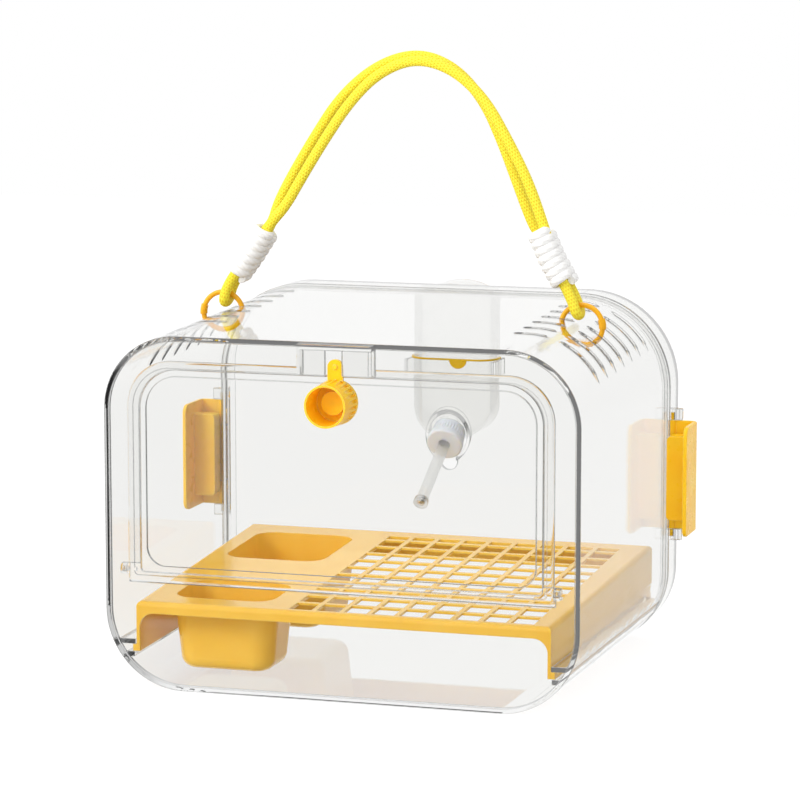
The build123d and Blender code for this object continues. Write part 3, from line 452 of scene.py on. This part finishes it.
def tube(name, line, across, sides, crosses=None):
    """Tube along a line; across gives the section's half sizes, crosses its directions."""
    if crosses is None:
        crosses = cross_directions(line)
    vertices, faces, lengths, run = [], [], [], 0.0
    for index, (place, (one, other)) in enumerate(zip(line, crosses)):
        if index:
            run += (place - line[index - 1]).length
        lengths.append(run)
        for step in range(sides):
            angle = 2 * pi * step / sides
            vertices.append(place + one * cos(angle) * across[0] + other * sin(angle) * across[1])
    for index in range(len(line) - 1):
        for step in range(sides):
            a = index * sides + step
            b = index * sides + (step + 1) % sides
            faces.append((a, b, b + sides, a + sides))
    first_end = tuple(range(sides))[::-1]
    last_end = tuple(range(len(vertices) - sides, len(vertices)))
    mesh = bpy.data.meshes.new(name)
    mesh.from_pydata(vertices, [], faces + [first_end, last_end])
    layer = mesh.uv_layers.new(name="along")
    for polygon in mesh.polygons:
        polygon.use_smooth = polygon.loop_total == 4
        for corner, loop in enumerate(polygon.loop_indices):
            ring, step = divmod(mesh.loops[loop].vertex_index, sides)
            around = (step + sides if corner in (1, 2) and step == 0 else step) / sides
            layer.data[loop].uv = (around, lengths[ring])
    piece = bpy.data.objects.new(name, mesh)
    bpy.context.scene.collection.objects.link(piece)
    return piece


def wrap_line(points):
    """Middle line of one wrap: from above the ring's bend to below the next point."""
    foot, middle, top = [Vector((point[0], RING_PLANE_Y, point[2])) for point in points]
    up = (middle - foot).normalized()
    start = foot + up * WRAP_FOOT_RISE
    end = top - (top - middle).normalized() * WRAP_TOP_DROP
    return [start, middle, end]


def winding(name, points, gap):
    """Cord wound in touching turns round both strands."""
    foot, middle, top = wrap_line(points)
    lower = (middle - foot).length
    whole = lower + (top - middle).length
    width = whole / WRAP_TURNS
    reach = CORD_DIAMETER / 2 + WRAP_GAP + WRAP_RADIAL
    straight = 2 * gap
    loop = 2 * straight + 2 * pi * reach
    line, crosses = [], []
    margin = width / 2
    total = WRAP_TURNS * WRAP_STEPS
    depth = Vector((0, 1, 0))
    for index in range(total + 1):
        share = index / total
        travel = margin + (whole - 2 * margin) * share
        if travel < lower:
            centre = foot.lerp(middle, travel / lower)
            up = (middle - foot).normalized()
        else:
            centre = middle.lerp(top, (travel - lower) / (whole - lower))
            up = (top - middle).normalized()
        place, out = obround(loop * ((share * WRAP_TURNS) % 1.0), straight, reach)
        cross = up.cross(depth).normalized()
        line.append(centre + depth * place[0] + cross * place[1])
        crosses.append(((depth * out[0] + cross * out[1]).normalized(), up))
    return tube(name, line, (WRAP_RADIAL, width * WRAP_HALF_PITCH), WRAP_SIDES, crosses)


def obround(distance, straight, reach):
    """Point and outward direction at a distance along an obround line."""
    half_turn = pi * reach
    if distance < straight:
        return (distance - straight / 2, -reach), (0, -1)
    distance -= straight
    if distance < half_turn:
        angle = -pi / 2 + distance / reach
        return (straight / 2 + reach * cos(angle), reach * sin(angle)), (cos(angle), sin(angle))
    distance -= half_turn
    if distance < straight:
        return (straight / 2 - distance, reach), (0, 1)
    angle = pi / 2 + (distance - straight) / reach
    return (-straight / 2 + reach * cos(angle), reach * sin(angle)), (cos(angle), sin(angle))


def build_handle():
    line = smooth_line("handle_route", cord_route())
    half = CORD_DIAMETER / 2
    cord = tube("handle_braid", line, (half, half), CORD_SIDES)
    # The second colour is the painted shade in the braid's grooves.
    yellow = braid("yellow_braid", (0.93, 0.82, 0.045, 1), (0.78, 0.5, 0.0, 1))
    cord.data.materials.append(yellow)
    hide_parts("handle_cord")
    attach(cord, "handle")
    # The second colour is the painted shade between the spun strands.
    white = soft_cord("white_winding", (0.975, 0.97, 0.96, 1), (0.84, 0.825, 0.8, 1))
    for name, points in (("wrap_left", LEFT_WRAP), ("wrap_right", RIGHT_WRAP)):
        wound = winding(name + "_wound", points, points[0][1])
        wound.data.materials.append(white)
        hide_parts(name)
        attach(wound, "handle")


# ---------------------------------------------------------------- studio
def build_world():
    world = bpy.data.worlds.new("studio")
    world.use_nodes = True
    bpy.context.scene.world = world
    g = Graph(world.node_tree)
    direction = g.node("ShaderNodeTexCoord").outputs["Generated"]
    behind = (CAMERA_TARGET - CAMERA_PLACE).normalized()

    def facing(towards, start, end):
        dot = g.node("ShaderNodeVectorMath", {0: direction, 1: towards}, operation="DOT_PRODUCT")
        return g.span(dot.outputs["Value"], 0.0, 1.0, start, end)

    # Mirrored rays see bright panels behind, at the upper left and overhead, less so at the right.
    panels = facing(behind, *PANEL_BEHIND)
    for towards, start, end in PANELS:
        panels = g.math("MAXIMUM", panels, facing(towards, start, end))
    right = g.math("MULTIPLY", facing((1, 0, 0), *RIGHT_SIDE), RIGHT_LOSS)
    panels = g.math("MULTIPLY", panels, g.math("SUBTRACT", 1.0, right))
    shine = g.span(panels, *SHINE_LEVELS)
    rays = g.node("ShaderNodeLightPath")
    # Rays scattered by dull surfaces see a soft light from the front left; all others see white.
    soft = g.span(facing(SOFT_FROM, -1.0, 1.0), *SOFT_LEVELS)
    scattered = g.math("GREATER_THAN", rays.outputs["Diffuse Depth"], 0.5)
    mirrored = g.math("GREATER_THAN", rays.outputs["Glossy Depth"], 0.5)
    level = g.mix(mirrored, WHITE, shine)
    level = g.mix(scattered, level, soft)
    level = g.mix(rays.outputs["Is Camera Ray"], level, WHITE)
    light = g.node("ShaderNodeBackground", {"Color": level, "Strength": 1.0}).outputs[0]
    g.node("ShaderNodeOutputWorld", {"Surface": light})


def area_light(name, place, size, power):
    data = bpy.data.lights.new(name, "AREA")
    data.shape = "RECTANGLE"
    data.size, data.size_y = size
    data.energy = power
    lamp = bpy.data.objects.new(name, data)
    aim = (Vector(LAMP_TARGET) - Vector(place)).to_track_quat("-Z", "Y")
    lamp.matrix_world = Matrix.Translation(place) @ aim.to_matrix().to_4x4()
    lamp.visible_camera = False
    lamp.visible_glossy = False
    lamp.visible_transmission = False
    bpy.context.scene.collection.objects.link(lamp)


def build_floor():
    """Pale floor that looks white to the camera and keeps a soft shadow."""
    mesh = bpy.data.meshes.new("floor")
    corners = [(-1, -1), (1, -1), (1, 1), (-1, 1)]
    corners = [(x * FLOOR_REACH, y * FLOOR_REACH, FLOOR_LEVEL) for x, y in corners]
    mesh.from_pydata(corners, [], [(0, 1, 2, 3)])
    floor = bpy.data.objects.new("floor", mesh)
    bpy.context.scene.collection.objects.link(floor)
    pale, g = material("pale_floor")
    lit = g.node("ShaderNodeBsdfDiffuse", {"Color": FLOOR_PALE}).outputs[0]
    faint = g.node("ShaderNodeBsdfDiffuse", {"Color": FLOOR_FAINT}).outputs[0]
    glow = g.node("ShaderNodeEmission", {"Color": WHITE, "Strength": FLOOR_GLOW}).outputs[0]
    shown = g.node("ShaderNodeAddShader", {0: glow, 1: faint}).outputs[0]
    camera_ray = g.node("ShaderNodeLightPath").outputs["Is Camera Ray"]
    finish(g, g.shade(camera_ray, lit, shown))
    mesh.materials.append(pale)
    floor.visible_glossy = False
    floor.visible_transmission = False


def build_camera():
    data = bpy.data.cameras.new("photo_camera")
    data.lens = CAMERA_LENS
    data.sensor_width = 36.0
    camera = bpy.data.objects.new("photo_camera", data)
    aim = (CAMERA_TARGET - CAMERA_PLACE).to_track_quat("-Z", "Y")
    camera.matrix_world = Matrix.Translation(CAMERA_PLACE) @ aim.to_matrix().to_4x4()
    bpy.context.scene.collection.objects.link(camera)
    bpy.context.scene.camera = camera


def build_studio():
    build_world()
    build_floor()
    build_camera()
    for lamp in LAMPS:
        area_light(*lamp)
    scene = bpy.context.scene
    scene.view_settings.view_transform = "Standard"
    scene.cycles.max_bounces = 40
    scene.cycles.transmission_bounces = 36
    scene.cycles.glossy_bounces = 24
    scene.cycles.transparent_max_bounces = 24


dress_nodes()
build_handle()
build_studio()
